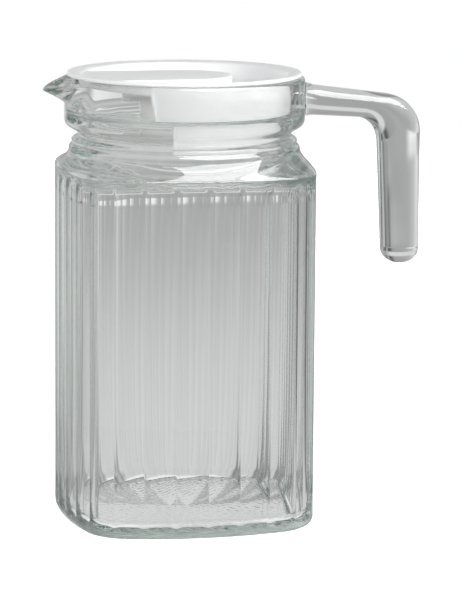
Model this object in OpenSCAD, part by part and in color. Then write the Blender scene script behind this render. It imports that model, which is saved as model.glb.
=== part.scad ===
// Glass refrigerator jug with a plug lid
// A fluted square body with bowed faces lofts into a round neck, a thick ring carries a spout and an
// open-ended handle, and a white lid with a pour window plugs the mouth.
// Origin at the centre of the base, +Z up, +X towards the handle, -X towards the spout.

/* [Body] */
// Width of the body across the middles of two opposite faces
body_w = 101.8; // [98:0.2:110]
// Radius of the bow of each face
face_r = 128; // [110:1:180]
// Radius of the body's upright corners
corner_r = 21.5; // [18:0.5:26]
// Height of the shoulder edge above the base
shoulder_z = 141.5; // [110:0.5:170]
// Glass thickness of the upright wall
wall_t = 4.5; // [3.5:0.1:6]
// Glass thickness of the floor
floor_t = 3.5; // [3:0.1:6]
// Rounding of the base's outer edge
base_edge_r = 3.6; // [2:0.1:5]
// Rounding between the floor and the wall, inside
floor_fillet_r = 4; // [2:0.5:9]

/* [Flutes] */
// Number of hollow flutes round the body
flute_count = 28; // [20:4:36]
// Depth of a flute at its middle
flute_d = 0.9; // [0.4:0.1:1.2]
// Height over which a flute runs out at each end
flute_run = 5; // [3:0.5:8]
// Plain band left between the flutes and the shoulder edge
flute_margin = 0.8; // [0.5:0.1:3]

/* [Neck] */
// Height of the shoulder, from the square edge to the round neck
shoulder_h = 8; // [6:0.5:14]
// Outer radius of the neck at the top of the shoulder
neck_r = 46.3; // [46:0.1:47]
// Outer radius at the bottom of the groove below the ring
groove_r = 42.7; // [42.2:0.1:44.4]
// Height of the neck, from the shoulder to the underside of the ring
neck_h = 8.5; // [7:0.5:14]
// Inner radius of the throat below the mouth
throat_r = 38.8; // [36:0.1:40]

/* [Ring and spout] */
// Outer radius of the ring round the mouth
ring_r = 48.1; // [47.5:0.1:49.5]
// Height of the ring
ring_h = 19.9; // [17:0.1:26]
// Inner radius of the mouth
mouth_r = 42.8; // [42:0.1:43.5]
// Depth of the mouth, from the rim to the ledge above the throat
mouth_depth = 14.6; // [14:0.1:17]
// Rounding of the rim
rim_r = 1.6; // [1:0.1:2]
// How far the spout's tip stands out from the rim's outer edge
spout_len = 9.7; // [5:0.1:14]
// How far the spout's tip dips below the rim
spout_dip = 3.5; // [2:0.1:6]
// Height of the spout's underside, from the ring's wall to the rim
spout_h = 10.2; // [8:0.1:12]
// Half of the angle that the spout takes up, in degrees
spout_half_angle = 28; // [20:1:40]

/* [Handle] */
// Reach of the handle's outer face from the axis
handle_reach = 97.1; // [90:0.1:115]
// Width of the handle, from side to side
handle_w = 16; // [12:0.1:16]
// Thickness of the arm at the ring
arm_h = 12.4; // [10:0.1:13]
// Drop of the arm's top below the rim, at the ring
arm_drop = 3.8; // [3.4:0.1:5]
// Fall of the arm's top from the ring to the bend
arm_fall = 4.5; // [1:0.1:6]
// Fall of the arm's underside from the ring to the bend
under_fall = 1.4; // [0:0.1:3]
// Thickness of the leg below the bend
leg_top_t = 17.2; // [14:0.1:20]
// Thickness of the leg above its domed end
leg_end_t = 15; // [11:0.1:18]
// Outer radius of the bend
bend_outer_r = 15.5; // [12:0.5:22]
// Inner radius of the bend
bend_inner_r = 10; // [6:0.5:14]
// Height of the leg's lowest point above the base
leg_end_z = 100; // [60:0.5:120]
// Height of the domed end
leg_dome_h = 6; // [4:0.5:10]

/* [Lid] */
// Radius of the lid's flange
flange_r = 47; // [46:0.1:48]
// Thickness of the flange
flange_t = 1.5; // [1.2:0.1:2.5]
// Wall of the lid's skirt
skirt_t = 1.5; // [1.2:0.1:2]
// Length of the lid below its flange
skirt_h = 27.6; // [24:0.1:30]
// Gap between the lid's skirt and the glass
skirt_gap = 0.5; // [0.3:0.05:1]
// Gap between the flange and the rim
seat_gap = 0.3; // [0.2:0.05:0.6]
// Half of the angle of the pour window in the upper skirt, in degrees
window_half_angle = 64; // [40:1:80]
// Half of the angle of the opening in the lower skirt, in degrees
tail_half_angle = 74; // [40:1:85]
// Width of the grip tongue
tongue_w = 38; // [28:0.5:46]
// Drop of the tongue's top below the lip
tongue_drop = 1.4; // [1:0.1:2]
// Depth of the finger well at the handle side
well_deep = 8; // [6:0.1:10]
// Depth of the finger well at the spout side
well_shallow = 2.6; // [2.2:0.1:4]

/* [Hidden] */

// One overrun serves every cut
overrun = 5;
// Points across one flute and round one turn
flute_steps = 4;
turn_steps = flute_count * flute_steps;
quarter_steps = turn_steps / 4;
// Steps of a rounded edge and of the shoulder's loft
edge_steps = 3;
loft_steps = 6;

// How late the shoulder's sweep sets in
sweep_power = 1.35;
// The shoulder's inside: its start below the outside one, in walls, and the soft part of its sweep
inner_drop_share = 0.7;
inner_soft_share = 0.2;

// Heights of the stack
neck_z = shoulder_z + shoulder_h;
ring_z = neck_z + neck_h;
rim_z = ring_z + ring_h;
ledge_z = rim_z - mouth_depth;
spout_z = rim_z - spout_h;
flute_end_z = shoulder_z - flute_margin;
flute_start_z = base_edge_r;
inner_shoulder_z = shoulder_z - wall_t * inner_drop_share;

// The body's outline: angle of half a face, lengths along a quarter of it, and the middles of its arcs
half_w = body_w / 2;
radian = 180 / PI;
face_turn = acos((face_r - half_w) / (face_r - corner_r) / sqrt(2)) - 45;
half_face = face_r * face_turn / radian;
corner_len = corner_r * (90 - 2 * face_turn) / radian;
quarter_len = 2 * half_face + corner_len;
face_mid = half_w - face_r;
corner_mid = (face_r - corner_r) * sin(face_turn);

// How much wider than the mean a flute is at a face's middle, and narrower at a corner
flute_swell_share = 0.05;

// Flat pad on the ring where the handle joins it, with its margin beside the handle
pad_margin = 1.8;
pad_x = sqrt(pow(ring_r, 2) - pow(handle_w / 2 + pad_margin, 2));

// Shape of the neck: heights as shares of neck_h, with the radius at each
groove_share = 0.65;
collar_share = 0.25;
collar_r = neck_r - (neck_r - groove_r) / 3;
ring_round = ring_r - groove_r;
ring_round_shares = [[-0.3, 0.15], [0, 0.62], [0.2, 0.9], [0.5, 1]];

// Levels of the ring above the spout's underside, outer then inner, as shares:
// height, radius from the mouth to the ring, reach of the spout, dip of the spout
outer_lip_shares = [[0.30, 1.00, 0.36, 0.10], [0.70, 0.97, 0.80, 0.62]];
inner_lip_shares = [[0.72, 0.00, 0.58, 0.80], [0.34, 0.00, 0.30, 0.30], [-0.10, 0.00, 0.06, 0.00]];
rim_reach_share = 0.78;

// Sides of the handle's oval section and how square the section is
handle_steps = 24;
handle_power = 2.6;
bend_steps = 8;
dome_steps = 5;

// Lid levels and radii
flange_z = rim_z + seat_gap;
lip_z = flange_z + flange_t;
plug_r = mouth_r - skirt_gap;
tail_r = throat_r - skirt_gap;
tail_z = flange_z - skirt_h;
step_gap = 0.8;
step_z = ledge_z + step_gap;
lip_edge = 0.4;
lip_w = 2.4;
lip_fall = 0.5;
lip_bevel = 0.8;
dish_r = plug_r - skirt_t;
well_tilt = atan((well_deep - well_shallow) / (2 * dish_r));
well_mid = (well_deep + well_shallow) / 2;
tongue_z = lip_z - tongue_drop;
lid_reach = 2 * flange_r;
sector_steps = 12;

glass_colour = [0.80, 0.87, 0.85, 0.45];
lid_colour = [0.95, 0.95, 0.95];

// Share of the way from the square wall to the round neck: a soft start, then a hollow sweep
function sweep(t, soft_share) =
    let (lead = soft_share / 2)
    let (start = sin(90 * lead / (1 - lead)))
    t < soft_share ? start * pow(t / soft_share, 2) : sin(90 * (t - lead) / (1 - lead));

// Place number k of the round outline, on a unit circle
function spoke(k) = [cos(360 * k / turn_steps), sin(360 * k / turn_steps)];

// A vector turned by a number of quarter turns
function quarter_turn(p, q) = q == 0 ? p : quarter_turn([-p.y, p.x], q - 1);

// Angle of the outward normal at length s along a quarter of the outline, from the middle of a face
function outline_angle(s) =
    s < half_face ? radian * s / face_r :
    s < half_face + corner_len ? face_turn + radian * (s - half_face) / corner_r :
    90 - radian * (quarter_len - s) / face_r;

// Point at length s along a quarter of the outline
function quarter_point(s) =
    let (a = outline_angle(s))
    let (out = [cos(a), sin(a)])
    s < half_face ? [face_mid, 0] + face_r * out :
    s < half_face + corner_len ? [corner_mid, corner_mid] + corner_r * out :
    [0, face_mid] + face_r * out;

// Length along its quarter at place k, with the flutes wider on the faces than on the corners
function along(k) =
    let (u = (k % quarter_steps) / quarter_steps)
    quarter_len * (u + flute_swell_share * sin(360 * u) / (2 * PI));
function outline(k) = quarter_turn(quarter_point(along(k)), floor(k / quarter_steps));
function normal(k) =
    let (a = outline_angle(along(k)))
    quarter_turn([cos(a), sin(a)], floor(k / quarter_steps));

// Share of the flute's depth at place k: none on a ridge, all of it in the middle
function scoop(k) = 1 - pow(2 * (k % flute_steps) / flute_steps - 1, 2);

// Ring of points on the square body, set in from its outline, with flutes raised by a rise
function wall_ring(z, inset, rise) = [
    for (k = [0:turn_steps - 1])
    let (d = inset + max(0, flute_d * scoop(k) - rise))
    let (p = outline(k) - d * normal(k))
    [p.x, p.y, z]
];

// Ring of points part of the way from the square body to a round neck
function loft_ring(z, share, inset, r) = [
    for (k = [0:turn_steps - 1])
    let (p = (1 - share) * (outline(k) - inset * normal(k)) + share * r * spoke(k))
    [p.x, p.y, z]
];

// How much of the spout shows at place k: all of it on -X, none outside its angle
function spout_share(k) =
    let (off = abs(360 * k / turn_steps - 180))
    off < spout_half_angle ? (1 + cos(180 * off / spout_half_angle)) / 2 : 0;

// Radius cut back to the handle's flat pad on +X
function pad_cut(r, k) = spoke(k).x > 0 ? min(r, pad_x / spoke(k).x) : r;

// Round ring of points, with the spout's reach and dip as shares
function round_ring(z, r, reach = 0, dip = 0) = [
    for (k = [0:turn_steps - 1])
    let (b = spout_share(k))
    let (q = pad_cut(r + spout_len * reach * b, k) * spoke(k))
    [q.x, q.y, z - spout_dip * dip * b]
];

// Outside of the glass, from the base up to the rim
function base_rings() = [
    for (i = [0:edge_steps])
    let (a = 90 * i / edge_steps)
    wall_ring(base_edge_r * (1 - cos(a)), base_edge_r * (1 - sin(a)), flute_d)
];
function flute_rings() = concat(
    [for (i = [1:edge_steps]) wall_ring(flute_start_z + flute_run * i / edge_steps, 0, flute_rise(i))],
    [for (i = [edge_steps:-1:0]) wall_ring(flute_end_z - flute_run * i / edge_steps, 0, flute_rise(i))]
);
function flute_rise(i) = flute_d * pow(1 - i / edge_steps, 2);
function shoulder_rings() = [
    for (i = [0:loft_steps])
    let (t = i / loft_steps)
    loft_ring(shoulder_z + shoulder_h * t, pow(sin(90 * t), sweep_power), 0, neck_r)
];
function neck_rings() = concat(
    [round_ring(neck_z + neck_h * collar_share, collar_r)],
    [round_ring(neck_z + neck_h * groove_share, groove_r)],
    [for (s = ring_round_shares) round_ring(ring_z + ring_round * s[0], groove_r + ring_round * s[1])]
);
function outer_ring_rings() = concat(
    [round_ring(spout_z, ring_r)],
    [
        for (s = outer_lip_shares)
        round_ring(spout_z + spout_h * s[0], mouth_r + (ring_r - mouth_r) * s[1], s[2], s[3])
    ]
);
function rim_rings() = [
    round_ring(rim_z - rim_r, ring_r - rim_r / 2, 1, 1),
    round_ring(rim_z, ring_r - 3 / 2 * rim_r, 1, 1),
    round_ring(rim_z, mouth_r + rim_r, rim_reach_share, 1),
    round_ring(rim_z - rim_r, mouth_r, rim_reach_share, 1)
];

// Inside of the glass, from the rim down to the floor
function mouth_rings() = concat(
    [
        for (s = inner_lip_shares)
        round_ring(spout_z + spout_h * s[0], mouth_r, s[2], s[3])
    ],
    [round_ring(ledge_z, mouth_r), round_ring(ledge_z, throat_r)]
);
function inner_shoulder_rings() = [
    for (i = [loft_steps:-1:0])
    let (t = i / loft_steps)
    loft_ring(inner_shoulder_z + shoulder_h * t, sweep(t, inner_soft_share), wall_t, throat_r)
];
function floor_rings() = [
    for (i = [edge_steps:-1:0])
    let (a = 90 * i / edge_steps)
    wall_ring(floor_t + floor_fillet_r * (1 - cos(a)), wall_t + floor_fillet_r * (1 - sin(a)), flute_d)
];

// Skin a list of rings, closed at both ends
module skin(rings) {
    n = len(rings[0]);
    last = len(rings) - 1;
    sides = [
        for (i = [0:last - 1], k = [0:n - 1])
        let (a = i * n + k)
        let (b = i * n + (k + 1) % n)
        each [[a, a + n, b + n], [a, b + n, b]]
    ];
    // The flat ends fan out from a corner, so that no triangle of them is a line
    from = floor(n / 8);
    caps = [
        [for (k = [0:n - 1]) (k + from) % n],
        [for (k = [n - 1:-1:0]) last * n + (k + from + 1) % n]
    ];
    polyhedron(points = [for (ring = rings) each ring], faces = concat(sides, caps), convexity = 8);
}

module glass_body() {
    color(glass_colour)
        skin(concat(
            base_rings(),
            flute_rings(),
            shoulder_rings(),
            neck_rings(),
            outer_ring_rings(),
            rim_rings(),
            mouth_rings(),
            inner_shoulder_rings(),
            floor_rings()
        ));
}

// The handle's outline in its own plane: outer and inner edges, paired from the ring to the leg's end
arm_top_z = rim_z - arm_drop;
arm_under_z = arm_top_z - arm_h;
leg_inner_x = handle_reach - leg_top_t;
leg_end_inner_x = handle_reach - leg_end_t;
dome_z = leg_end_z + leg_dome_h;

// One edge: a straight fall from height z at the ring, a bend of radius r into the leg at x, then its end
function handle_edge(z, fall, x, r, end_x) =
    let (run = x - r - pad_x)
    let (tilt = atan(fall / run))
    let (c = [x - r, z - (r + run * sin(tilt)) / cos(tilt)])
    concat(
        [[pad_x, z]],
        [
            for (i = [0:bend_steps])
            let (a = (90 - tilt) * (1 - i / bend_steps))
            c + r * [cos(a), sin(a)]
        ],
        [[end_x, dome_z]]
    );
outer_edge = handle_edge(arm_top_z, arm_fall, handle_reach, bend_outer_r, handle_reach);
inner_edge = handle_edge(arm_under_z, under_fall, leg_inner_x, bend_inner_r, leg_end_inner_x);

// Signed power, for the squarish oval
function curl(v) = sign(v) * pow(abs(v), 2 / handle_power);

// One oval section between a pair of edge points
function handle_section(p, q, size_share, down) = [
    for (k = [0:handle_steps - 1])
    let (a = 360 * k / handle_steps)
    let (m = (p + q) / 2 + size_share * curl(cos(a)) * (p - q) / 2)
    [m.x, size_share * curl(sin(a)) * handle_w / 2, m.y - down]
];

// Sections from the ring to the leg's end, then a dome that closes it
function leg_sections() = [
    for (i = [0:len(outer_edge) - 1])
    handle_section(outer_edge[i], inner_edge[i], 1, 0)
];
dome_turn = 90 / (dome_steps + 1);
function dome_sections() = [
    for (i = [1:dome_steps])
    let (a = dome_turn * i)
    let (down = leg_dome_h * sin(a) / cos(dome_turn))
    handle_section([handle_reach, dome_z], [leg_end_inner_x, dome_z], cos(a), down)
];

module glass_handle() {
    color(glass_colour)
        skin(concat(leg_sections(), dome_sections()));
}

// Everything above a plane parallel to the floor of the finger well, lowered by a drop
module above_well(drop) {
    translate([0, 0, lip_z - well_mid - drop])
        rotate([0, well_tilt, 0])
            translate([-lid_reach / 2, -lid_reach / 2, 0])
                cube(lid_reach);
}

// Outline of the grip tongue, set in by a margin: round at its free end, open towards the spout
module tongue_outline(inset) {
    circle(r = tongue_w / 2 - inset, $fn = 96);
    translate([-dish_r, inset - tongue_w / 2])
        square([dish_r, tongue_w - 2 * inset]);
}

// Flange, plug and tail of the lid, as one turned section
module lid_shell() {
    rotate_extrude($fn = 128)
        polygon([
            [plug_r, flange_z],
            [flange_r, flange_z],
            [flange_r, lip_z - lip_edge],
            [flange_r - lip_edge, lip_z],
            [flange_r - lip_w, lip_z],
            [dish_r + lip_bevel, lip_z - lip_fall],
            [dish_r, lip_z - lip_fall - lip_bevel],
            [dish_r, step_z + skirt_t],
            [tail_r - skirt_t, step_z + skirt_t],
            [tail_r - skirt_t, tail_z],
            [tail_r, tail_z],
            [tail_r, step_z],
            [plug_r, step_z]
        ]);
}

// Floor of the finger well with the tongue that stands out of it, open below
module lid_well() {
    difference() {
        intersection() {
            translate([0, 0, step_z])
                cylinder(r = dish_r + skirt_t / 2, h = lip_z - step_z, $fn = 128);
            above_well(skirt_t);
            union() {
                difference() {
                    translate([0, 0, step_z])
                        cylinder(r = lid_reach, h = lip_z - step_z);
                    above_well(0);
                }
                translate([0, 0, step_z])
                    linear_extrude(tongue_z - step_z)
                        tongue_outline(0);
            }
        }
        translate([0, 0, step_z - overrun])
            linear_extrude(tongue_z - skirt_t - step_z + overrun)
                intersection() {
                    tongue_outline(skirt_t);
                    circle(r = dish_r - skirt_t, $fn = 96);
                }
    }
}

// Wedge of a turn centred on the spout
module spout_sector(half_angle, z0, z1) {
    translate([0, 0, z0])
        linear_extrude(z1 - z0)
            polygon(concat([[0, 0]], [
                for (i = [0:sector_steps])
                let (a = 180 + half_angle * (2 * i / sector_steps - 1))
                lid_reach * [cos(a), sin(a)]
            ]));
}

module lid() {
    color(lid_colour) {
        difference() {
            lid_shell();
            difference() {
                spout_sector(window_half_angle, step_z - overrun, flange_z);
                above_well(skirt_t);
            }
            spout_sector(tail_half_angle, tail_z - overrun, step_z);
        }
        lid_well();
    }
}

glass_body();
glass_handle();
lid();
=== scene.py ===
"""Dressed look of the glass refrigerator jug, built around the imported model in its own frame."""

import math

import bmesh
import bpy
import numpy as np
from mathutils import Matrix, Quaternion, Vector


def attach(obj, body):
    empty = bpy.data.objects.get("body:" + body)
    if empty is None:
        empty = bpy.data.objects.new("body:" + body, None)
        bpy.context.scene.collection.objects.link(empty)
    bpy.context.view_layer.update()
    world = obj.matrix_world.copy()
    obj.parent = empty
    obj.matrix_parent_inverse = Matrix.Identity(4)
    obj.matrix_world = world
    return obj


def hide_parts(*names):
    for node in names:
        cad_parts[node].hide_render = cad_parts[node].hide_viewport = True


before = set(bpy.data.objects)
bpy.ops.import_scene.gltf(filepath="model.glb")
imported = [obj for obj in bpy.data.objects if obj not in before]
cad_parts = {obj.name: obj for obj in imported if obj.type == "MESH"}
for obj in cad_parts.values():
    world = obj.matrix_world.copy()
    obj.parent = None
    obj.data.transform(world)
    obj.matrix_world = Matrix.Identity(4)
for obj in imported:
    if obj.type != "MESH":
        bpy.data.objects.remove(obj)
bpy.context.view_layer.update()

MM = 0.001

# Image that the camera is set for, in pixels
IMAGE_W, IMAGE_H = 461, 595

# Body of the jug, in mm, as in the part's source
HALF_W = 50.9
FACE_R = 128.0
CORNER_R = 21.5
SHOULDER_Z = 141.5
WALL_T = 4.5
FLOOR_T = 3.5
BASE_EDGE_R = 3.6
FLOOR_FILLET_R = 4.0
FLUTES = 28
FLUTE_D = 0.9
FLUTE_RUN = 5.0
FLUTE_SWELL = 0.05
FLUTE_MARGIN = 0.8
SHOULDER_H = 8.0
SHOULDER_SWEEP = 1.35
INNER_SHOULDER_DROP = 0.7 * WALL_T
NECK_R = 46.3
NECK_H = 8.5
THROAT_R = 38.8
RING_R = 48.1
RING_H = 19.9
MOUTH_R = 42.8
LEDGE_DROP = 14.6
RIM_R = 1.6
SPOUT_LEN = 8.9
SPOUT_DIP = 3.5
SPOUT_H = 10.2
SPOUT_HALF_DEG = 28.0
NECK_Z = SHOULDER_Z + SHOULDER_H
INNER_SHOULDER_Z = SHOULDER_Z - INNER_SHOULDER_DROP
RING_Z = NECK_Z + NECK_H
RIM_Z = RING_Z + RING_H
LEDGE_Z = RIM_Z - LEDGE_DROP
SPOUT_Z = RIM_Z - SPOUT_H

# Underside of the jug, in mm: a shallow push-up inside its bearing ring, domed by a share of its height
RECESS_H = 1.1
RECESS_DOME = 0.25
RECESS_SLOPE_W = 2.4
BEARING_W = 6.0

# Shares and powers of the spout's sweep, of its channel and of the rim's round
SPOUT_LINEAR, SPOUT_SQUARE = 0.72, 0.28
CHANNEL_SHARE = 0.80
CHANNEL_EASE, CHANNEL_LINEAR = 0.35, 0.65
CHANNEL_DROP = 1.0
RIM_ACROSS_POWER, RIM_UP_POWER = 0.7, 0.8

# Outside of the neck, as heights above the shoulder and radii in mm: a fine bead, then the groove under the ring
NECK_PROFILE = (
    (0.7, 46.1), (1.3, 45.6), (1.8, 45.1), (2.3, 44.95), (2.8, 45.1), (3.3, 45.1), (3.8, 44.6), (4.3, 43.75),
    (4.9, 43.0), (5.6, 42.7), (6.3, 42.9), (6.9, 43.5), (7.5, 44.45), (8.1, 45.5), (8.7, 46.5), (9.4, 47.3),
    (10.2, 47.8), (11.2, 48.05), (12.4, 48.1), (14.0, 48.1), (16.0, 48.1),
)
# Inside of the neck, from the mouth over the lid's ledge into the throat, as heights from the ledge and radii
LEDGE_PROFILE = (
    (2.4, 42.8), (1.2, 42.75), (0.5, 42.45), (0.12, 41.9), (0.0, 41.2), (0.0, 40.2), (-0.1, 39.5),
    (-0.5, 39.0), (-1.2, 38.8), (-4.0, 38.8), (-8.0, 38.8), (-12.0, 38.8), (-15.0, 38.8),
)

# Floor of the jug: rings, share of the innermost one, and where the ripple fades at the wall and in the middle
FLOOR_RINGS = 72
MIDDLE_SHARE = 0.02
RIPPLE_FADE_WALL, RIPPLE_FADE_MIDDLE = 0.12, 0.1
# Waves of the ripple: length in mm, direction in degrees and height in mm
RIPPLE_WAVES = ((4.3, 84, 0.018), (6.1, 151, 0.017), (3.6, 37, 0.008), (7.0, 12, 0.014))

# Places across one flute, closer together at its sharp ridges
FLUTE_PLACES = (0.0, 0.014, 0.045, 0.10, 0.19, 0.31, 0.44, 0.56, 0.69, 0.81, 0.90, 0.955, 0.986)


def ease(t):
    t = np.clip(t, 0.0, 1.0)
    return t * t * (3 - 2 * t)


# The square outline: place, normal and flute share of every point round one turn
places = np.array([f + u for f in range(FLUTES) for u in FLUTE_PLACES])
turn_points = len(places)
face_turn = math.acos((FACE_R - HALF_W) / (FACE_R - CORNER_R) / math.sqrt(2)) - math.pi / 4
half_face = FACE_R * face_turn
corner_len = CORNER_R * (math.pi / 2 - 2 * face_turn)
quarter_len = 2 * half_face + corner_len
per_quarter = FLUTES / 4
quarter_share = places % per_quarter / per_quarter
along = quarter_len * (quarter_share + FLUTE_SWELL * np.sin(2 * math.pi * quarter_share) / (2 * math.pi))
quarter = (places // per_quarter).astype(int)
before = np.minimum(along, half_face)
inside = np.clip(along - half_face, 0, corner_len)
after = np.maximum(0, along - half_face - corner_len)
normal_angle = (before + after) / FACE_R + inside / CORNER_R
corner_mid = (FACE_R - CORNER_R) * math.sin(face_turn)
bend_r = np.where((inside > 0) & (after == 0), CORNER_R, FACE_R)
mid_x = np.select([inside == 0, after == 0], [HALF_W - FACE_R, corner_mid], 0.0)
mid_y = np.select([inside == 0, after == 0], [0.0, corner_mid], HALF_W - FACE_R)
quarter_x = mid_x + bend_r * np.cos(normal_angle)
quarter_y = mid_y + bend_r * np.sin(normal_angle)
turn = quarter * math.pi / 2
outline = np.stack([
    quarter_x * np.cos(turn) - quarter_y * np.sin(turn),
    quarter_x * np.sin(turn) + quarter_y * np.cos(turn),
], axis=1)
normals = np.stack([np.cos(normal_angle + turn), np.sin(normal_angle + turn)], axis=1)
scoop = 1 - (2 * (places % 1) - 1) ** 2
spoke_angle = places / FLUTES * 2 * math.pi
spokes = np.stack([np.cos(spoke_angle), np.sin(spoke_angle)], axis=1)
spout_off = np.abs(np.degrees(spoke_angle) - 180)
spout = np.where(spout_off < SPOUT_HALF_DEG, (1 + np.cos(math.pi * spout_off / SPOUT_HALF_DEG)) / 2, 0.0)


def level(xy, z):
    """One ring of points at a height, or at a height for each point."""
    return np.column_stack([xy, np.broadcast_to(z, len(xy))])


def wall_ring(z, inset, rise=FLUTE_D):
    """A ring of the square wall, with the flutes cut in as far as they are deeper than the rise."""
    depth = inset + np.maximum(0, FLUTE_D * scoop - rise)
    return level(outline - depth[:, None] * normals, z)


def loft_ring(z, share, inset, r):
    """A ring between the plain square outline and a circle."""
    return level((1 - share) * (outline - inset * normals) + share * r * spokes, z)


def round_ring(z, r):
    return level(spokes * np.broadcast_to(r, turn_points)[:, None], z)


def shoulder_share(t):
    """Share of the way from the square wall to the round neck, outside: a late, hollow sweep."""
    return math.sin(math.pi / 2 * t) ** SHOULDER_SWEEP


def inner_share(t, soft=0.2):
    """The same inside the glass: a soft edge, then a hollow sweep."""
    sweep = lambda v: math.sin(math.pi / 2 * (v - soft / 2) / (1 - soft / 2))
    return sweep(soft) * (t / soft) ** 2 if t < soft else sweep(t)


def floor_ripple(xy):
    """Uneven surface of the poured floor: waves in a few directions, bent into swirls."""
    x, y = xy.T
    bent = np.stack([
        x + 4.2 * np.sin(y / 8.5 + 1.0) + 2.1 * np.sin((x + y) / 5.2 + 0.4),
        y + 4.6 * np.sin(x / 7.6 + 2.2) + 1.8 * np.sin((x - y) / 6.1 + 0.7),
    ], axis=1)
    total = np.zeros(len(xy))
    for length, degrees, height in RIPPLE_WAVES:
        a = math.radians(degrees)
        total += height * np.sin(2 * math.pi * (bent @ (math.cos(a), math.sin(a))) / length)
    return total


def glass_rings():
    """Rings of the glass skin: from the middle of the underside up the outside, over the rim and down to the floor."""
    rings = []
    # Underside: the push-up, the slope round it and the bearing ring
    for s in (MIDDLE_SHARE, 0.15, 0.3, 0.45, 0.6, 0.75, 0.88, 0.96, 1.0):
        xy = s * (outline - (BASE_EDGE_R + BEARING_W) * normals)
        rings.append(level(xy, RECESS_H * (1 - RECESS_DOME * s * s)))
    for s in (0.25, 0.5, 0.75, 1.0, 1.6):
        xy = outline - (BASE_EDGE_R + BEARING_W - RECESS_SLOPE_W * s) * normals
        rings.append(level(xy, RECESS_H * (1 - RECESS_DOME) * (1 - ease(s))))
    # Base edge
    for i in range(9):
        a = math.pi / 2 * i / 8
        rings.append(wall_ring(BASE_EDGE_R * (1 - math.cos(a)), BASE_EDGE_R * (1 - math.sin(a))))
    # Flutes, run out at both ends
    start, end = BASE_EDGE_R, SHOULDER_Z - FLUTE_MARGIN
    for i in range(1, 11):
        t = i / 10
        rings.append(wall_ring(start + FLUTE_RUN * t, 0, FLUTE_D * (1 - t) ** 2))
    for t in np.linspace(0, 1, 14)[1:-1]:
        rings.append(wall_ring(start + FLUTE_RUN + (end - start - 2 * FLUTE_RUN) * t, 0, 0))
    for i in range(12, -1, -1):
        t = i / 12
        rings.append(wall_ring(end - FLUTE_RUN * t, 0, FLUTE_D * (1 - t) ** 2))
    rings.append(wall_ring(SHOULDER_Z - 0.5 * FLUTE_MARGIN, 0))
    # Shoulder
    for t in np.linspace(0, 1, 19):
        rings.append(loft_ring(SHOULDER_Z + SHOULDER_H * t, shoulder_share(t), 0, NECK_R))
    for z, r in NECK_PROFILE:
        rings.append(round_ring(NECK_Z + z, r))
    # Ring and the spout that grows out of it
    edge_z = RIM_Z - RIM_R - SPOUT_DIP * spout
    for t in np.linspace(0, 1, 15):
        reach = t * (SPOUT_LINEAR + SPOUT_SQUARE * t) if t < 1 else 1.0
        rings.append(round_ring(SPOUT_Z + (edge_z - SPOUT_Z) * t, RING_R + SPOUT_LEN * spout * reach))
    # Rim, rounded over
    inner_r = MOUTH_R + CHANNEL_SHARE * SPOUT_LEN * spout
    outer_r = RING_R + SPOUT_LEN * spout
    half = (outer_r - inner_r) / 2
    for i in range(1, 16):
        a = math.pi * i / 16
        x = np.sign(math.cos(a)) * abs(math.cos(a)) ** RIM_ACROSS_POWER
        rings.append(round_ring(edge_z + RIM_R * math.sin(a) ** RIM_UP_POWER, (outer_r + inner_r) / 2 + half * x))
    # Mouth and the spout's channel
    channel_z = SPOUT_Z - CHANNEL_DROP
    for t in np.linspace(1, 0, 15):
        reach = ease(t) * CHANNEL_EASE + t * CHANNEL_LINEAR
        channel_r = MOUTH_R + CHANNEL_SHARE * SPOUT_LEN * spout * reach
        rings.append(round_ring(channel_z + (edge_z - channel_z) * t, channel_r))
    for z, r in LEDGE_PROFILE:
        rings.append(round_ring(LEDGE_Z + z, r))
    # Inside of the shoulder
    for t in np.linspace(1, 0, 18):
        rings.append(loft_ring(INNER_SHOULDER_Z + SHOULDER_H * t, inner_share(t), WALL_T, THROAT_R))
    # Inside wall, floor fillet and floor
    for z in np.linspace(INNER_SHOULDER_Z, FLOOR_T + FLOOR_FILLET_R, 18)[1:-1]:
        rings.append(wall_ring(z, WALL_T))
    for i in range(10, -1, -1):
        a = math.pi / 2 * i / 10
        rings.append(wall_ring(
            FLOOR_T + FLOOR_FILLET_R * (1 - math.cos(a)), WALL_T + FLOOR_FILLET_R * (1 - math.sin(a)),
        ))
    inner = outline - (WALL_T + FLOOR_FILLET_R) * normals
    for s in np.linspace(1, MIDDLE_SHARE, FLOOR_RINGS)[1:]:
        xy = s * inner
        fade = min(1.0, (1 - s) / RIPPLE_FADE_WALL) * min(1.0, s / RIPPLE_FADE_MIDDLE)
        rings.append(level(xy, FLOOR_T + fade * floor_ripple(xy)))
    return rings


def skin(name, rings):
    """A closed mesh through a list of equal rings, with a fan at each end."""
    n = len(rings[0])
    points = np.concatenate(rings + [rings[0].mean(axis=0)[None], rings[-1].mean(axis=0)[None]])
    first, last = len(points) - 2, len(points) - 1
    faces = []
    for i in range(len(rings) - 1):
        for k in range(n):
            j = (k + 1) % n
            faces.append((i * n + k, i * n + j, (i + 1) * n + j, (i + 1) * n + k))
    top = (len(rings) - 1) * n
    for k in range(n):
        j = (k + 1) % n
        faces.append((first, j, k))
        faces.append((last, top + k, top + j))
    return mesh_object(name, points, faces)


def mesh_object(name, points, faces):
    """A mesh object from points in mm, with its normals facing out."""
    mesh = bpy.data.meshes.new(name)
    mesh.from_pydata([tuple(p) for p in np.asarray(points) * MM], [], faces)
    bm = bmesh.new()
    bm.from_mesh(mesh)
    bmesh.ops.recalc_face_normals(bm, faces=bm.faces)
    bm.to_mesh(mesh)
    bm.free()
    obj = bpy.data.objects.new(name, mesh)
    bpy.context.scene.collection.objects.link(obj)
    return obj


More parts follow.
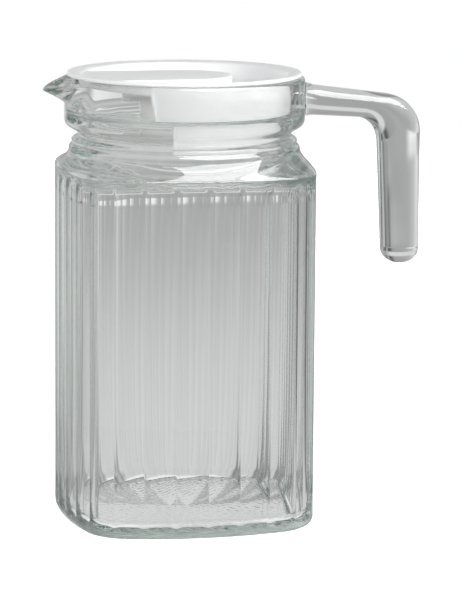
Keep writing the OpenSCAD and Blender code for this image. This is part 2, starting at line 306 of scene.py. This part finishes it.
def combine(obj, other, operation):
    """obj joined with, or cut by, another object, which is then gone."""
    modifier = obj.modifiers.new("combine", "BOOLEAN")
    modifier.operation = operation
    modifier.solver = "EXACT"
    modifier.object = other
    apply_modifiers(obj)
    bpy.data.objects.remove(other)


def apply_modifiers(obj):
    """Makes the modified mesh the object's own."""
    depsgraph = bpy.context.evaluated_depsgraph_get()
    depsgraph.update()
    made = bpy.data.meshes.new_from_object(obj.evaluated_get(depsgraph))
    obj.modifiers.clear()
    old = obj.data
    obj.data = made
    made.name = obj.name
    bpy.data.meshes.remove(old)


def smooth(obj, degrees):
    """Smooth shading, but for edges sharper than an angle."""
    obj.data.shade_smooth()
    obj.data.set_sharp_from_angle(angle=math.radians(degrees))


# Handle, in mm: edges of its side view, from inside the ring's wall to the end of the leg
HANDLE_REACH = 97.1
HANDLE_W = 16.0
ROOT_X = 45.8
PAD_X = 47.1
ARM_DROP = 3.8
ARM_TOP_Z = RIM_Z - ARM_DROP
ARM_FALL = 4.5
ARM_H = 12.4
ARM_UNDER_FALL = 1.4
LEG_TOP_T, LEG_END_T = 17.2, 15.0
BEND_OUTER_R, BEND_INNER_R = 15.5, 10.0
LEG_END_Z, LEG_DOME_H = 100.0, 6.0
LEG_DOME_POWER = 0.92
ROOT_FLARE, ROOT_FLARE_LEN = 0.22, 7.0
HANDLE_SIDES = 48
HANDLE_POWER = 2.6


def arm_edge(top_z, fall, leg_x, bend_r):
    """One edge of the arm: a straight fall from the ring, then a bend into the leg."""
    slope = math.atan2(fall, leg_x - bend_r - PAD_X)
    start = np.array((leg_x - bend_r + bend_r * math.sin(slope), 0.0))
    start[1] = top_z - (start[0] - PAD_X) * math.tan(slope)
    middle = start - bend_r * np.array((math.sin(slope), math.cos(slope)))
    root = np.array((ROOT_X, top_z + (PAD_X - ROOT_X) * math.tan(slope)))
    edge = [root + (start - root) * t for t in np.linspace(0, 1, 15)[:-1]]
    for a in np.linspace(math.pi / 2 - slope, 0, 25):
        edge.append(middle + bend_r * np.array((math.cos(a), math.sin(a))))
    return edge


def handle_edges():
    """Points along the outer and inner edges of the side view, down to where the leg's end is domed."""
    dome_z = LEG_END_Z + LEG_DOME_H
    outer = arm_edge(ARM_TOP_Z, ARM_FALL, HANDLE_REACH, BEND_OUTER_R)
    inner = arm_edge(ARM_TOP_Z - ARM_H, ARM_UNDER_FALL, HANDLE_REACH - LEG_TOP_T, BEND_INNER_R)
    for edge, end_x in ((outer, HANDLE_REACH), (inner, HANDLE_REACH - LEG_END_T)):
        start, end = edge[-1], np.array((end_x, dome_z))
        edge += [start + (end - start) * t for t in np.linspace(0, 1, 17)[1:]]
    return np.array(outer), np.array(inner)


def handle_rings():
    outer, inner = handle_edges()
    a = np.linspace(0, 2 * math.pi, HANDLE_SIDES, endpoint=False)
    curl = lambda v: np.sign(v) * np.abs(v) ** (2 / HANDLE_POWER)
    up, side = curl(np.cos(a)), curl(np.sin(a))

    def section(p, q, size, down=0.0):
        middle = (p + q) / 2 + size * up[:, None] * (p - q) / 2
        return np.column_stack([middle[:, 0], size * side * HANDLE_W / 2, middle[:, 1] - down])

    rings = []
    for p, q in zip(outer, inner):
        x = (p[0] + q[0]) / 2
        flare = ROOT_FLARE * max(0.0, 1 - (x - PAD_X) / ROOT_FLARE_LEN) ** 2 if p[1] > RING_Z else 0.0
        rings.append(section(p, q, 1 + flare))
    for i in range(1, 12):
        t = math.pi / 2 * i / 12
        rings.append(section(outer[-1], inner[-1], math.cos(t) ** LEG_DOME_POWER, LEG_DOME_H * math.sin(t)))
    # The last ring is nearly flat, so that the leg ends at its full length
    rings[-1][:, 2] = LEG_END_Z + 0.02
    return rings


# Lid, in mm
FLANGE_R = 47.0
FLANGE_T = 1.5
SKIRT_T = 1.5
SKIRT_H = 27.6
SKIRT_GAP = 0.5
SEAT_GAP = 0.3
STEP_GAP = 0.8
FLANGE_Z = RIM_Z + SEAT_GAP
LIP_Z = FLANGE_Z + FLANGE_T
PLUG_R = MOUTH_R - SKIRT_GAP
TAIL_R = THROAT_R - SKIRT_GAP
TAIL_Z = FLANGE_Z - SKIRT_H
STEP_Z = LEDGE_Z + STEP_GAP
DISH_R = PLUG_R - SKIRT_T
WELL_DEEP, WELL_SHALLOW = 8.0, 2.6
WELL_SLOPE = (WELL_DEEP - WELL_SHALLOW) / (2 * DISH_R)
WELL_MID = (WELL_DEEP + WELL_SHALLOW) / 2
TONGUE_W = 38.0
TONGUE_DROP = 1.4
TONGUE_Z = LIP_Z - TONGUE_DROP
# Half angles of the openings towards the spout, none of them on one of the lid's own steps
WINDOW_HALF_DEG = 63.2
WINDOW_TOP_HALF_DEG = 60.6
TAIL_HALF_DEG = 71.8
LID_STEPS = 160
LID_BEVEL = 0.35
LID_BEVEL_DEG = 40
CUT_OVERRUN = 5.0
# Section of the beads along the cut edges: degrees from the edge, and mm out from the skirt
BEAD_SECTION = ((0.0, -SKIRT_T), (0.0, -0.25), (0.9, 0.32), (1.8, 0.32), (2.2, -0.25), (2.2, -SKIRT_T))

# Angles in degrees over which an edge stays sharp
GLASS_SHARP_DEG = 50
LID_SHARP_DEG = 40


def well_z(x, drop=0.0):
    """Height of the finger well's floor, lowered by a drop."""
    return LIP_Z - WELL_MID - drop - x * WELL_SLOPE


def turned(name, profile):
    """A closed profile of radius and height turned about the axis."""
    a = np.linspace(0, 2 * math.pi, LID_STEPS, endpoint=False)
    profile = np.array(profile)
    n, m = len(a), len(profile)
    points = np.concatenate([np.column_stack([r * np.cos(a), r * np.sin(a), np.full(n, z)]) for r, z in profile])
    faces = [
        (i * n + k, i * n + (k + 1) % n, (i + 1) % m * n + (k + 1) % n, (i + 1) % m * n + k)
        for i in range(m) for k in range(n)
    ]
    return mesh_object(name, points, faces)


def prism(name, xy, low, high, top_xy=None):
    """A prism over a flat outline, or from one outline to another, between heights that low and high give."""
    n = len(xy)
    xy = np.array(xy)
    top_xy = xy if top_xy is None else np.array(top_xy)
    points = np.concatenate([
        np.column_stack([xy, [low(*p) for p in xy]]),
        np.column_stack([top_xy, [high(*p) for p in top_xy]]),
    ])
    faces = [tuple(range(n))[::-1], tuple(range(n, 2 * n))]
    faces += [(k, (k + 1) % n, n + (k + 1) % n, n + k) for k in range(n)]
    return mesh_object(name, points, faces)


def sector(half_deg, reach=60.0, steps=24):
    angles = np.radians(180 + half_deg * np.linspace(-1, 1, steps + 1))
    return [(0.0, 0.0)] + [(reach * math.cos(a), reach * math.sin(a)) for a in angles]


def tongue_outline(inset, reach):
    """Outline of the grip tongue: round at its free end, cut off by the dish towards the spout."""
    half = TONGUE_W / 2 - inset
    angles = np.radians(np.linspace(-90, 90, 41))
    points = [(half * math.cos(a), half * math.sin(a)) for a in angles]
    start = math.asin(half / reach)
    for a in np.linspace(math.pi - start, math.pi + start, 25):
        points.append((reach * math.cos(a), reach * math.sin(a)))
    return points


def circle(r, steps=LID_STEPS):
    return [(r * math.cos(a), r * math.sin(a)) for a in np.linspace(0, 2 * math.pi, steps, endpoint=False)]


def edge_bead(low_deg, high_deg, r, low, high):
    """Two beads along the edges of an opening towards the spout, which lean from one half angle to another."""
    beads = []
    for side in (-1, 1):
        ends = []
        for half_deg in (low_deg, high_deg):
            angles = [math.pi + side * math.radians(half_deg + turn) for turn, _ in BEAD_SECTION]
            reaches = [r + out for _, out in BEAD_SECTION]
            ends.append([(reach * math.cos(a), reach * math.sin(a)) for a, reach in zip(angles, reaches)])
        beads.append(prism("bead", ends[0], low, high, ends[1]))
    return beads


def build_lid():
    """The lid: a turned flange and skirt, opened towards the spout, with the dish, the tongue and beads on the cuts."""
    shell = turned("lid_visual", [
        (PLUG_R, FLANGE_Z), (FLANGE_R - 0.4, FLANGE_Z), (FLANGE_R, FLANGE_Z + 0.35), (FLANGE_R, LIP_Z - 0.55),
        (FLANGE_R - 0.18, LIP_Z - 0.2), (FLANGE_R - 0.55, LIP_Z), (FLANGE_R - 1.6, LIP_Z),
        (FLANGE_R - 2.4, LIP_Z - 0.08), (FLANGE_R - 3.6, LIP_Z - 0.3), (DISH_R + 0.9, LIP_Z - 0.6),
        (DISH_R + 0.35, LIP_Z - 0.95), (DISH_R, LIP_Z - 1.6), (DISH_R, STEP_Z + SKIRT_T),
        (TAIL_R - SKIRT_T, STEP_Z + SKIRT_T), (TAIL_R - SKIRT_T, TAIL_Z), (TAIL_R, TAIL_Z), (TAIL_R, STEP_Z),
        (PLUG_R, STEP_Z),
    ])
    window = prism(
        "window", sector(WINDOW_HALF_DEG), lambda x, y: STEP_Z - 0.01, lambda x, y: well_z(x, SKIRT_T + 0.12),
        sector(WINDOW_TOP_HALF_DEG),
    )
    combine(shell, window, "DIFFERENCE")
    tail = prism("tail", sector(TAIL_HALF_DEG), lambda x, y: TAIL_Z - CUT_OVERRUN, lambda x, y: STEP_Z)
    combine(shell, tail, "DIFFERENCE")
    well_r = DISH_R + SKIRT_T / 2
    floor = prism("well_floor", circle(well_r), lambda x, y: well_z(x, SKIRT_T), lambda x, y: well_z(x))
    tongue = prism("tongue", tongue_outline(0.0, well_r), lambda x, y: well_z(x, SKIRT_T), lambda x, y: TONGUE_Z)
    combine(floor, tongue, "UNION")
    hollow = prism(
        "hollow", tongue_outline(SKIRT_T, DISH_R - SKIRT_T), lambda x, y: STEP_Z - CUT_OVERRUN,
        lambda x, y: TONGUE_Z - SKIRT_T,
    )
    combine(floor, hollow, "DIFFERENCE")
    combine(shell, floor, "UNION")
    beads = edge_bead(
        WINDOW_HALF_DEG, WINDOW_TOP_HALF_DEG, PLUG_R, lambda x, y: STEP_Z + 0.3, lambda x, y: well_z(x, SKIRT_T / 2),
    )
    beads += edge_bead(
        TAIL_HALF_DEG, TAIL_HALF_DEG, TAIL_R, lambda x, y: TAIL_Z + 0.2, lambda x, y: STEP_Z + SKIRT_T / 2,
    )
    for bead in beads:
        combine(shell, bead, "UNION")
    bevel = shell.modifiers.new("soft_edges", "BEVEL")
    bevel.width = LID_BEVEL * MM
    bevel.segments = 2
    bevel.limit_method = "ANGLE"
    bevel.angle_limit = math.radians(LID_BEVEL_DEG)
    apply_modifiers(shell)
    smooth(shell, LID_SHARP_DEG)
    return shell


# Materials

# Span of a noise texture that nearly all of its values lie in
NOISE_SPAN = (0.3, 0.7)
PLASTIC_TINTS = ((0.865, 0.865, 0.86, 1), (0.895, 0.895, 0.895, 1))


def new_material(name):
    """An empty material, its node tree and its output."""
    material = bpy.data.materials.new(name)
    material.use_nodes = True
    tree = material.node_tree
    tree.nodes.clear()
    output = tree.nodes.new("ShaderNodeOutputMaterial")
    return material, tree, output


def noise(tree, scale, detail=2.0):
    """Noise over the object's own coordinates, with a scale per metre."""
    place = tree.nodes.new("ShaderNodeTexCoord")
    node = tree.nodes.new("ShaderNodeTexNoise")
    node.inputs["Scale"].default_value = scale
    node.inputs["Detail"].default_value = detail
    tree.links.new(place.outputs["Object"], node.inputs["Vector"])
    return node.outputs["Fac"]


def spread(tree, value, low, high):
    """A noise value spread over a range."""
    node = tree.nodes.new("ShaderNodeMapRange")
    node.inputs["From Min"].default_value, node.inputs["From Max"].default_value = NOISE_SPAN
    node.inputs["To Min"].default_value, node.inputs["To Max"].default_value = low, high
    tree.links.new(value, node.inputs["Value"])
    return node.outputs["Result"]


def bump(tree, shader, height, distance):
    node = tree.nodes.new("ShaderNodeBump")
    node.inputs["Distance"].default_value = distance
    tree.links.new(height, node.inputs["Height"])
    tree.links.new(node.outputs["Normal"], shader.inputs["Normal"])


def glass_material():
    """Clear pressed glass with a faint green body colour, slightly wavy and here and there a little dull."""
    material, tree, output = new_material("pressed_glass")
    shader = tree.nodes.new("ShaderNodeBsdfPrincipled")
    shader.inputs["Base Color"].default_value = (0.99, 0.997, 0.994, 1)
    shader.inputs["IOR"].default_value = 1.5
    shader.inputs["Transmission Weight"].default_value = 1.0
    tree.links.new(spread(tree, noise(tree, 45.0), 0.0, 0.02), shader.inputs["Roughness"])
    bump(tree, shader, noise(tree, 70.0, 1.0), 0.00012)
    absorption = tree.nodes.new("ShaderNodeVolumeAbsorption")
    absorption.inputs["Color"].default_value = (0.75, 0.86, 0.815, 1)
    absorption.inputs["Density"].default_value = 9.0
    tree.links.new(shader.outputs["BSDF"], output.inputs["Surface"])
    tree.links.new(absorption.outputs["Volume"], output.inputs["Volume"])
    return material


def plastic_material():
    """White moulded plastic with a fine satin grain that lets a little light through."""
    material, tree, output = new_material("lid_plastic")
    shader = tree.nodes.new("ShaderNodeBsdfPrincipled")
    tint = tree.nodes.new("ShaderNodeValToRGB")
    for element, place, colour in zip(tint.color_ramp.elements, NOISE_SPAN, PLASTIC_TINTS):
        element.position, element.color = place, colour
    tree.links.new(noise(tree, 60.0), tint.inputs["Fac"])
    tree.links.new(tint.outputs["Color"], shader.inputs["Base Color"])
    tree.links.new(spread(tree, noise(tree, 140.0, 4.0), 0.34, 0.46), shader.inputs["Roughness"])
    bump(tree, shader, noise(tree, 1800.0), 0.00002)
    shader.inputs["Subsurface Weight"].default_value = 0.9
    shader.inputs["Subsurface Radius"].default_value = (1.0, 0.97, 0.94)
    shader.inputs["Subsurface Scale"].default_value = 0.005
    tree.links.new(shader.outputs["BSDF"], output.inputs["Surface"])
    return material


# Pieces

glass = skin("glass_jug", glass_rings())
handle = skin("handle_solid", handle_rings())
combine(glass, handle, "UNION")
smooth(glass, GLASS_SHARP_DEG)
glass.data.materials.clear()
glass.data.materials.append(glass_material())
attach(glass, "jug")
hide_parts("glass_body", "glass_handle")

lid = build_lid()
lid.data.materials.clear()
lid.data.materials.append(plastic_material())
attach(lid, "lid")
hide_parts("lid")


# Stage: a pale floor, a white world, the room that the glass shows, soft lamps and the camera. Sizes in metres

WORLD_FILL = 0.51
FLOOR_GLOW = 0.6
FLOOR_HALF, FLOOR_Z = 1.2, -0.0004
ROOM_R, ROOM_COLUMNS, ROOM_ROWS, ROOM_DROP = 1.6, 64, 20, 0.001
TABLE_Z = -0.0002
SOFTBOX_TURN_DEG, SOFTBOX_UP_DEG, SOFTBOX_REACH = 42, 56, 1.15
SOFTBOX_HALF_W, SOFTBOX_HALF_H, SOFTBOX_GLOW = 0.6, 0.48, 10.0


def rectangle(half_x, half_y):
    return [(-half_x, -half_y, 0), (half_x, -half_y, 0), (half_x, half_y, 0), (-half_x, half_y, 0)]


def stage_object(name, points, faces):
    mesh = bpy.data.meshes.new(name)
    mesh.from_pydata(points, [], faces)
    obj = bpy.data.objects.new(name, mesh)
    bpy.context.scene.collection.objects.link(obj)
    return obj


def math_node(tree, operation, *values):
    """One operation on sockets and plain numbers."""
    node = tree.nodes.new("ShaderNodeMath")
    node.operation = operation
    for socket, value in zip(node.inputs, values):
        if isinstance(value, float):
            socket.default_value = value
        else:
            tree.links.new(value, socket)
    return node.outputs[0]


def seen_rays(tree):
    """1 for the rays that see the background: camera, mirror and glass rays."""
    path = tree.nodes.new("ShaderNodeLightPath")
    mirrored = math_node(tree, "MAXIMUM", path.outputs["Is Camera Ray"], path.outputs["Is Glossy Ray"])
    return math_node(tree, "MAXIMUM", mirrored, path.outputs["Is Transmission Ray"])


def build_world():
    world = bpy.data.worlds.new("studio")
    bpy.context.scene.world = world
    world.use_nodes = True
    tree = world.node_tree
    tree.nodes.clear()
    output = tree.nodes.new("ShaderNodeOutputWorld")
    fill = tree.nodes.new("ShaderNodeBackground")
    fill.inputs["Color"].default_value = (0.98, 0.99, 1.0, 1)
    fill.inputs["Strength"].default_value = WORLD_FILL
    white = tree.nodes.new("ShaderNodeBackground")
    white.inputs["Color"].default_value = (1, 1, 1, 1)
    white.inputs["Strength"].default_value = 1.0
    mix = tree.nodes.new("ShaderNodeMixShader")
    tree.links.new(seen_rays(tree), mix.inputs[0])
    tree.links.new(fill.outputs[0], mix.inputs[1])
    tree.links.new(white.outputs[0], mix.inputs[2])
    tree.links.new(mix.outputs[0], output.inputs["Surface"])


def build_floor():
    floor = stage_object("floor", rectangle(FLOOR_HALF, FLOOR_HALF), [(0, 1, 2, 3)])
    floor.location.z = FLOOR_Z
    material, tree, output = new_material("pale_floor")
    pale = tree.nodes.new("ShaderNodeBsdfDiffuse")
    pale.inputs["Color"].default_value = (0.9, 0.9, 0.9, 1)
    white = tree.nodes.new("ShaderNodeEmission")
    white.inputs["Strength"].default_value = FLOOR_GLOW
    both = tree.nodes.new("ShaderNodeAddShader")
    tree.links.new(pale.outputs[0], both.inputs[0])
    tree.links.new(white.outputs[0], both.inputs[1])
    mix = tree.nodes.new("ShaderNodeMixShader")
    tree.links.new(seen_rays(tree), mix.inputs[0])
    tree.links.new(pale.outputs[0], mix.inputs[1])
    tree.links.new(both.outputs[0], mix.inputs[2])
    tree.links.new(mix.outputs[0], output.inputs["Surface"])
    floor.data.materials.append(material)


def area_lamp(name, location, target, size, power):
    data = bpy.data.lights.new(name, "AREA")
    data.shape = "RECTANGLE"
    data.size, data.size_y = size
    data.energy = power
    lamp = bpy.data.objects.new(name, data)
    lamp.location = location
    lamp.rotation_euler = (Vector(target) - Vector(location)).to_track_quat("-Z", "Y").to_euler()
    lamp.visible_camera = False
    bpy.context.scene.collection.objects.link(lamp)
    return lamp


def build_camera():
    """The photograph's viewpoint: about 12 degrees round to the spout's side and 10 degrees above."""
    azimuth, pitch, distance = math.radians(-11.7), math.radians(9.81), 1.316
    aim = Vector((0, 0, 0.090))
    away = Vector((
        math.sin(azimuth) * math.cos(pitch),
        -math.cos(azimuth) * math.cos(pitch),
        math.sin(pitch),
    ))
    data = bpy.data.cameras.new("camera")
    data.sensor_width = 36.0
    # Focal length and the aim's place in the image, in pixels
    focal, aim_x, aim_y = 3262.0, 183.5, 292.7
    data.lens = focal * data.sensor_width / IMAGE_H
    roll = math.radians(0.28)
    data.shift_x = (IMAGE_W / 2 - aim_x) / IMAGE_H
    data.shift_y = (aim_y - IMAGE_H / 2) / IMAGE_H
    data.clip_start, data.clip_end = 0.05, 50.0
    camera = bpy.data.objects.new("camera", data)
    camera.location = aim + away * distance
    level_turn = (-away).to_track_quat("-Z", "Y")
    camera.rotation_euler = (level_turn @ Quaternion((0, 0, 1), roll)).to_euler()
    bpy.context.scene.collection.objects.link(camera)
    bpy.context.scene.camera = camera


def hidden_stage(name, points, faces, *seen_by):
    """A glowing piece of the studio that only some kinds of ray see, and the camera never does."""
    obj = stage_object(name, points, faces)
    obj.visible_camera = obj.visible_diffuse = obj.visible_shadow = obj.visible_volume_scatter = False
    obj.visible_glossy = "glossy" in seen_by
    obj.visible_transmission = "transmission" in seen_by
    material, tree, output = new_material(name)
    glow = tree.nodes.new("ShaderNodeEmission")
    tree.links.new(glow.outputs[0], output.inputs["Surface"])
    obj.data.materials.append(material)
    return tree, glow


# Directions away from the camera and to its right, on the floor
BACK, RIGHT = (0.203, 0.979, 0.0), (0.979, -0.203, 0.0)

# The room's tone by the angle in degrees from straight behind the jug: light cards at left, dark flags at right
WALL_TONES = (
    (-180, 0.40), (-130, 0.42), (-100, 0.36), (-86, 0.20), (-76, 0.52), (-66, 0.48), (-60, 0.20), (-54, 0.58),
    (-46, 0.24), (-41, 0.64), (-30, 0.78), (-18, 0.52), (-11, 0.46), (-5, 0.40), (3, 0.38), (12, 0.36), (20, 0.33),
    (26, 0.10), (33, 0.10), (37, 0.45), (42, 0.10), (50, 0.20), (56, 0.45), (62, 0.10), (72, 0.40), (80, 0.10),
    (100, 0.12), (130, 0.30), (180, 0.40),
)
# A low band round the walls, paler behind the jug, and the heights over which it comes and goes
BAND_RISE, BAND_FALL = (0.18, 0.28), (0.42, 0.55)
BAND_TONES = ((-180, 0.40), (-45, 0.40), (-28, 0.70), (26, 0.70), (45, 0.35), (180, 0.40))
# The far part of the table, with a card and a flag of its own, and the distances over which it begins
FAR_START = (1.0, 1.2)
FAR_TONES = (
    (-180, 0.50), (-70, 0.30), (-50, 0.15), (-33, 0.20), (-26, 0.90), (-10, 0.95), (-5, 0.70), (0, 0.40), (28, 0.36),
    (45, 0.48), (180, 0.50),
)
# The table near the jug: its slanting end, its tone by the same angle, and a share by the distance from the origin,
# which paints light on it: a little paler under the jug and a bright painted pool of light round its foot
NEAR_SLANT, NEAR_END = -0.9, (0.12, 0.85)
TABLE_TONES = (
    (-180, 0.60), (-84, 0.60), (-76, 0.22), (-68, 0.54), (-60, 0.22), (-53, 0.54), (-47, 0.18), (-41, 0.56),
    (-35, 0.28), (-30, 0.68), (-18, 0.61), (-6, 0.64), (8, 0.64), (25, 0.62), (29, 0.20), (34, 0.30), (43, 0.15),
    (47, 0.52), (53, 0.52), (58, 0.12), (67, 0.12), (73, 0.42), (80, 0.60), (180, 0.60),
)
TABLE_PAINTED_LIGHT_SHARES = ((0.046, 1.15), (0.0505, 1.5), (0.0530, 1.5), (0.056, 1.0))
# Uneven light round the room: the scale of its noise, for each degree, and the shares that it runs between
STREAK_SCALE, STREAK_SPAN = 0.28, (0.92, 1.07)


def place_along(tree, direction):
    """How far the shaded place lies along a direction from the jug's axis."""
    place = tree.nodes.new("ShaderNodeNewGeometry")
    dot = tree.nodes.new("ShaderNodeVectorMath")
    dot.operation = "DOT_PRODUCT"
    dot.inputs[1].default_value = direction
    tree.links.new(place.outputs["Position"], dot.inputs[0])
    return dot.outputs["Value"]


def ramp(tree, value, span, result):
    """A smooth step from one value to another over a span."""
    node = tree.nodes.new("ShaderNodeMapRange")
    node.interpolation_type = "SMOOTHSTEP"
    node.inputs["From Min"].default_value, node.inputs["From Max"].default_value = span
    node.inputs["To Min"].default_value, node.inputs["To Max"].default_value = result
    tree.links.new(value, node.inputs["Value"])
    return node.outputs["Result"]


def tones(tree, value, steps):
    """A grey that runs through pairs of a place and a tone."""
    low, high = steps[0][0], steps[-1][0]
    share = math_node(tree, "DIVIDE", math_node(tree, "SUBTRACT", value, float(low)), float(high - low))
    node = tree.nodes.new("ShaderNodeValToRGB")
    elements = node.color_ramp.elements
    while len(elements) < len(steps):
        elements.new(0.5)
    for element, (at, grey) in zip(elements, steps):
        element.position, element.color = (at - low) / (high - low), (grey, grey, grey, 1)
    tree.links.new(share, node.inputs["Fac"])
    return node.outputs["Color"]


def room_angle(tree):
    """The angle of the shaded place from straight behind the jug, in degrees, positive to the right."""
    angle = math_node(tree, "ARCTAN2", place_along(tree, RIGHT), place_along(tree, BACK))
    return math_node(tree, "DEGREES", angle)


def room_distance(tree):
    """How far the shaded place lies from the origin."""
    place = tree.nodes.new("ShaderNodeNewGeometry")
    length = tree.nodes.new("ShaderNodeVectorMath")
    length.operation = "LENGTH"
    tree.links.new(place.outputs["Position"], length.inputs[0])
    return length.outputs["Value"]


def table_light(tree):
    """The table near the jug, with painted light: a little paler under it, a bright painted pool of light round its
    foot, then plain.
    """
    # Painted light by the distance from the axis: paler under the jug, and a bright pool of light round its foot
    share = tones(tree, room_distance(tree), TABLE_PAINTED_LIGHT_SHARES)
    tone = math_node(tree, "MULTIPLY", tones(tree, room_angle(tree), TABLE_TONES), share)
    return math_node(tree, "MULTIPLY", tone, room_streaks(tree))


def room_streaks(tree):
    """Soft uneven light round the room, which the flutes show as fine streaks."""
    node = tree.nodes.new("ShaderNodeTexNoise")
    node.noise_dimensions = "1D"
    node.inputs["Scale"].default_value = STREAK_SCALE
    node.inputs["Detail"].default_value = 3.0
    tree.links.new(room_angle(tree), node.inputs["W"])
    return ramp(tree, node.outputs[0], NOISE_SPAN, STREAK_SPAN)


def blend(tree, factor, first, second):
    """A mix of two values by a factor."""
    node = tree.nodes.new("ShaderNodeMix")
    for socket, value in zip(("Factor", "A", "B"), (factor, first, second)):
        tree.links.new(value, node.inputs[socket])
    return node.outputs["Result"]


def build_room():
    """The grey room that the glass shows: a dome, a table top that is lighter near the jug with a painted pool of light
    round its foot, and a softbox.
    """
    points, faces = [], []
    for i in range(ROOM_ROWS):
        up = math.pi / 2 * i / ROOM_ROWS
        for k in range(ROOM_COLUMNS):
            turn = 2 * math.pi * k / ROOM_COLUMNS
            points.append((
                ROOM_R * math.cos(up) * math.cos(turn), ROOM_R * math.cos(up) * math.sin(turn),
                ROOM_R * math.sin(up) - ROOM_DROP,
            ))
    for i in range(ROOM_ROWS - 1):
        low, high = i * ROOM_COLUMNS, (i + 1) * ROOM_COLUMNS
        for k in range(ROOM_COLUMNS):
            j = (k + 1) % ROOM_COLUMNS
            faces.append((low + k, low + j, high + j, high + k))
    top = (ROOM_ROWS - 1) * ROOM_COLUMNS
    faces.append(tuple(range(top, top + ROOM_COLUMNS)))
    tree, glow = hidden_stage("room", points, faces, "glossy", "transmission")
    angle = room_angle(tree)
    height = place_along(tree, (0, 0, 1))
    band = math_node(
        tree, "MULTIPLY", ramp(tree, height, BAND_RISE, (0.0, 1.0)), ramp(tree, height, BAND_FALL, (1.0, 0.0)),
    )
    walls = blend(tree, band, tones(tree, angle, WALL_TONES), tones(tree, angle, BAND_TONES))
    tree.links.new(walls, glow.inputs["Strength"])

    points = [(x, y, TABLE_Z) for x, y, _ in rectangle(ROOM_R, ROOM_R)]
    tree, glow = hidden_stage("table", points, [(0, 1, 2, 3)], "glossy", "transmission")
    slant = math_node(tree, "MULTIPLY_ADD", place_along(tree, RIGHT), NEAR_SLANT, place_along(tree, BACK))
    near = ramp(tree, slant, NEAR_END, (1.0, 0.0))
    far = ramp(tree, room_distance(tree), FAR_START, (0.0, 1.0))
    angle = room_angle(tree)
    plain = blend(tree, far, tones(tree, angle, WALL_TONES), tones(tree, angle, FAR_TONES))
    tree.links.new(blend(tree, near, plain, table_light(tree)), glow.inputs["Strength"])

    turn, up = math.radians(SOFTBOX_TURN_DEG), math.radians(SOFTBOX_UP_DEG)
    away = Vector((math.cos(up) * math.sin(turn), -math.cos(up) * math.cos(turn), math.sin(up)))
    middle = SOFTBOX_REACH * away
    facing = (-middle).to_track_quat("-Z", "Y")
    points = [tuple(middle + facing @ Vector(c)) for c in rectangle(SOFTBOX_HALF_W, SOFTBOX_HALF_H)]
    _, glow = hidden_stage("softbox", points, [(0, 1, 2, 3)], "glossy")
    glow.inputs["Strength"].default_value = SOFTBOX_GLOW


build_world()
build_floor()
build_room()
build_camera()

# The glass casts no shadow of the lamps, so that the lid is lit inside it
clear = bpy.data.collections.new("clear_to_lamps")
clear.objects.link(glass)
lamps = (
    area_lamp("key", (0.75, -0.90, 0.52), (0, 0, 0.12), (0.5, 0.5), 12.4),
    area_lamp("fill", (-0.75, -0.55, 0.36), (0, 0, 0.15), (0.6, 0.6), 3.5),
    area_lamp("back", (-0.1, 1.1, 0.36), (0, 0, 0.16), (0.8, 0.4), 8.0),
)
for lamp in lamps:
    lamp.light_linking.blocker_collection = clear
    lamp.visible_glossy = lamp.visible_transmission = False
clear.collection_objects[0].light_linking.link_state = "EXCLUDE"

# Light goes round in thick glass many times before it leaves it
cycles = bpy.context.scene.cycles
cycles.max_bounces = cycles.transmission_bounces = 48
cycles.glossy_bounces = 24

bpy.context.scene.view_settings.view_transform = "Standard"
